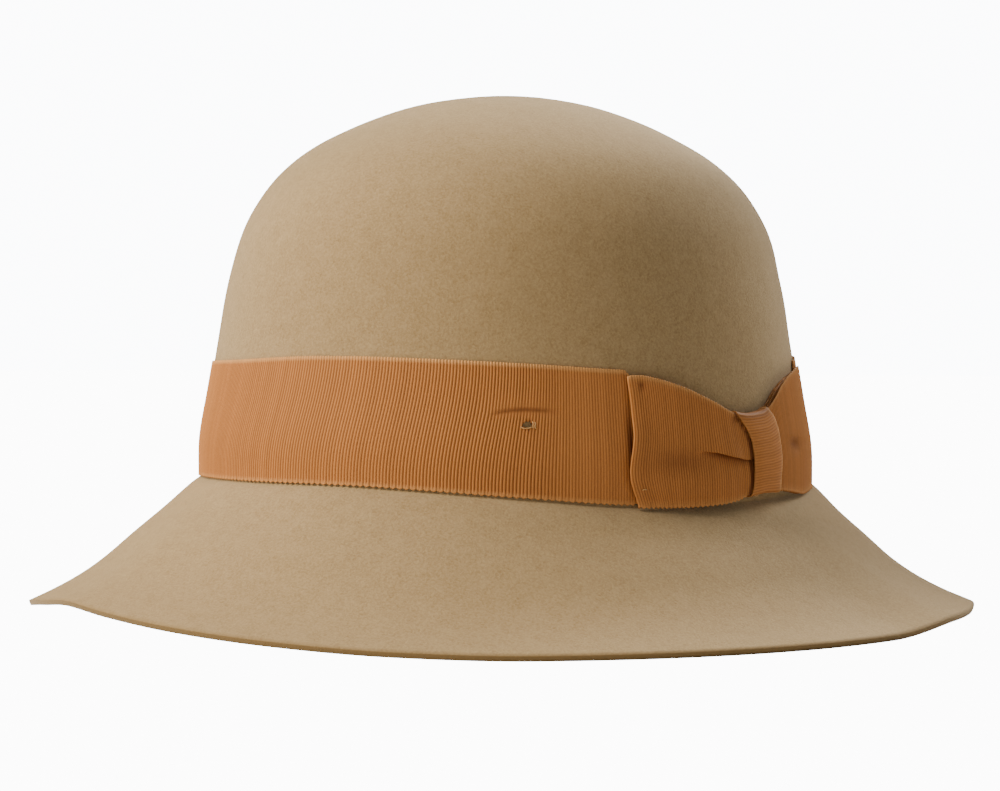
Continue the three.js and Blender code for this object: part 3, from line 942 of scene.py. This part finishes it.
def buildKnot():
    path, low, high = knotPath()
    closed = [*path, path[0]]
    marks = [0]
    for start, end in zip(closed, closed[1:]):
        marks.append(marks[-1] + (end - start).length)

    def spotAt(place):
        way = (place % 1) * marks[-1]
        i = min(bisect.bisect_right(marks, way) - 1, len(path) - 1)
        return closed[i].lerp(closed[i + 1], (way - marks[i]) / (marks[i + 1] - marks[i]))

    columns = knot["ribs"] * 4
    shares = knot["front"] + knot["back"]
    bm = turnedGrid(len(shares), columns, True)
    shadedGroove, selvedge, _, toneAndShade = addMarks(bm)
    tones = ribTones(knot["ribs"])
    middle = (path[0].y + path[-1].y) / 2
    for vert in bm.verts:
        index, i = gridPlace(vert.co, len(shares), columns, True)
        place = index / columns
        spot = spotAt(place)
        along = (spotAt(place + 0.004) - spotAt(place - 0.004)).normalized()
        outward = Vector((-along.y, along.x))
        isFace = i < len(knot["front"])
        share = shares[i]
        up = clamp((spot.x - low) / (high - low))
        left = column(knot["sides"], up, 1)
        right = column(knot["sides"], up, 2)
        arc = left + (right - left) * share
        isFront = ease(middle - 0.5, middle + 0.5, spot.y)
        relief = 0
        if isFace:
            relief, vert[shadedGroove] = [knot["ribShare"] * value for value in ribRelief(index, 0)]
            vert[selvedge] = 0.6 * ease(0.93, 0.98, share) + 0.2 * (1 - ease(0.01, 0.05, share))
            # random tone of each rib, and painted shade on the knot's top bend, where the light
            # from above falls on it
            vert[toneAndShade] = tones[(index + 2) // 4 % knot["ribs"]] * (1 - 0.3 * ease(0.88, 1, up))
        else:
            vert[toneAndShade] = 0.8
        bulge = knot["bulge"] * (1 - (2 * share - 1) ** 4) * math.sin(math.pi * clamp(up)) ** 0.5
        wall = band["wall"] / 2 if isFace else -band["wall"] / 2
        flat = spot + outward * (wall - relief)
        t = (flat.x - edgeHeight(0, 1)) / (edgeHeight(0, 2) - edgeHeight(0, 1))
        below = edgeHeight(arc, 1) - edgeHeight(0, 1)
        above = edgeHeight(arc, 2) - edgeHeight(0, 2)
        height = flat.x + below * (1 - t) + above * t
        vert.co = bowPoint(arc, height, flat.y + bulge * isFront)
    bmesh.ops.remove_doubles(bm, verts=bm.verts, dist=0.002)
    piece = addPiece("knot_ribbon", bm, ribbonMaterial)
    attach(piece, "root")
    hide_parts("bow_knot")


# Sewing and frayed ends: thickness, then places along the crown from the knot, height, off
threads = {
    "radius": 0.12,
    "stitches": [
        [(-45.1, 41.2, 1.3), (-44.7, 41.5, 1.95), (-44.1, 41.5, 1.95), (-43.7, 41.3, 1.3)],
        [(-4.2, 38.9, 2.2), (-3.4, 38.4, 2.9), (-2.6, 38.5, 3.0), (-2.0, 38.8, 2.6)],
    ],
    # turn, height, off from the band's face
    "frays": [
        [(41.2, 60.6, -0.25), (41.35, 60.1, 0.12), (41.3, 59.4, 0.15), (41.35, 58.7, 0)],
        [(41.7, 60.3, 0), (41.75, 59.9, 0.15), (41.65, 59.2, 0.15), (41.8, 58.6, 0)],
        [(39.2, 59.1, 0), (39.7, 58.7, 0.12), (40.5, 58.7, 0.12), (41.1, 59.0, 0)],
    ],
}


def buildThreads():
    curve = bpy.data.curves.new("threads", "CURVE")
    curve.dimensions = "3D"
    curve.bevel_depth = threads["radius"] * mm
    curve.bevel_resolution = 2
    curve.use_fill_caps = True
    lines = [[bowPoint(*spot) for spot in line] for line in threads["stitches"]]
    for line in threads["frays"]:
        spots = []
        for turn, height, off in line:
            radius = crownRadius(turn, height) + band["clearance"] + band["wall"]
            spots.append(pointAt(turn, radius + off, height))
        lines.append(spots)
    for line in lines:
        samples = curveThrough(line, 6)
        spline = curve.splines.new("POLY")
        spline.points.add(len(samples) - 1)
        for point, spot in zip(spline.points, samples):
            point.co = (*((spot + axis) * mm), 1)
    holder = bpy.data.objects.new("threadCurve", curve)
    bpy.context.scene.collection.objects.link(holder)
    mesh = bpy.data.meshes.new_from_object(holder.evaluated_get(
        bpy.context.evaluated_depsgraph_get()))
    bpy.data.objects.remove(holder)
    mesh.materials.clear()
    mesh.materials.append(threadMaterial)
    piece = bpy.data.objects.new("sewing_threads", mesh)
    bpy.context.scene.collection.objects.link(piece)
    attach(piece, "root")


buildFelt()
print("felt built")
buildBand()
print("band built")
buildLoops()
buildKnot()
buildThreads()
print("bow built")

# Studio: white room, a floor that the camera sees as white too, large soft lights, and the camera
studio = {
    "turn": 37,  # of the camera round the hat
    "distance": 920,  # from the crown's axis
    "height": 82,
    "focal": 108.96,
    "shift": (-0.0075, -0.0525),
    "floor": "#cfcdc9",
    "air": "#fafcff",
    "fill": 0.23,
    "background": 12,
    # to the right, towards the camera, up, size in metres, watts, colour
    "lights": {
        "keyLight": (-1.5, 0.6, 1.2, 1.1, 75, "#fff4e6"),
        "rimLight": (1.2, -1.3, 1.2, 0.8, 36, "#fff8f0"),
        "topLight": (-0.7, -0.6, 1.7, 1.1, 22, "#fffaf2"),
    },
}


def buildStudio():
    angle = math.radians(studio["turn"])
    right = Vector((math.cos(angle), math.sin(angle), 0))
    nearer = Vector((math.sin(angle), -math.cos(angle), 0))
    bm = bmesh.new()
    bmesh.ops.create_grid(bm, x_segments=1, y_segments=1, size=6)
    mesh = bpy.data.meshes.new("floor")
    bm.to_mesh(mesh)
    bm.free()
    floor = bpy.data.objects.new("floor", mesh)
    bpy.context.scene.collection.objects.link(floor)
    material, nodes = newMaterial("paintedFloor")
    paint = addNode(
        nodes,
        "ShaderNodeBsdfPrincipled",
        inputs={"Base Color": hexColour(studio["floor"]), "Roughness": 0.9,
                "Specular IOR Level": 0.1},
    )
    glow = addNode(nodes, "ShaderNodeEmission", inputs={"Strength": studio["background"]})
    lit = addNode(
        nodes,
        "ShaderNodeMixShader",
        inputs={0: addNode(nodes, "ShaderNodeLightPath").outputs["Is Camera Ray"],
                1: paint.outputs["BSDF"], 2: glow.outputs["Emission"]},
    )
    addNode(nodes, "ShaderNodeOutputMaterial", inputs={"Surface": lit.outputs["Shader"]})
    mesh.materials.append(material)

    world = bpy.data.worlds.new("whiteRoom")
    bpy.context.scene.world = world
    world.use_nodes = True
    nodes = world.node_tree.nodes
    nodes.clear()
    seen = addNode(nodes, "ShaderNodeLightPath").outputs["Is Camera Ray"]
    strength = addNode(
        nodes,
        "ShaderNodeMapRange",
        inputs={"Value": seen, "To Min": studio["fill"], "To Max": studio["background"]},
    )
    room = addNode(
        nodes,
        "ShaderNodeBackground",
        inputs={"Color": hexColour(studio["air"]), "Strength": strength.outputs["Result"]},
    )
    addNode(nodes, "ShaderNodeOutputWorld", inputs={"Surface": room.outputs["Background"]})

    aim = Vector((0, 0, 0.07))
    for name, (across, towards, up, size, power, colour) in studio["lights"].items():
        light = bpy.data.lights.new(name, "AREA")
        light.size = size
        light.energy = power
        light.color = hexColour(colour)[:3]
        lamp = bpy.data.objects.new(name, light)
        lamp.location = right * across + nearer * towards + Vector((0, 0, up))
        lamp.rotation_euler = (aim - lamp.location).to_track_quat("-Z", "Y").to_euler()
        bpy.context.scene.collection.objects.link(lamp)

    lens = bpy.data.cameras.new("photoView")
    lens.sensor_width = 36
    lens.lens = studio["focal"]
    lens.shift_x, lens.shift_y = studio["shift"]
    camera = bpy.data.objects.new("photoView", lens)
    stand = axis + nearer * studio["distance"] + Vector((0, 0, studio["height"]))
    camera.location = stand * mm
    camera.rotation_euler = (-nearer).to_track_quat("-Z", "Y").to_euler()
    bpy.context.scene.collection.objects.link(camera)
    bpy.context.scene.camera = camera


buildStudio()
print("studio set")

bpy.context.view_layer.update()
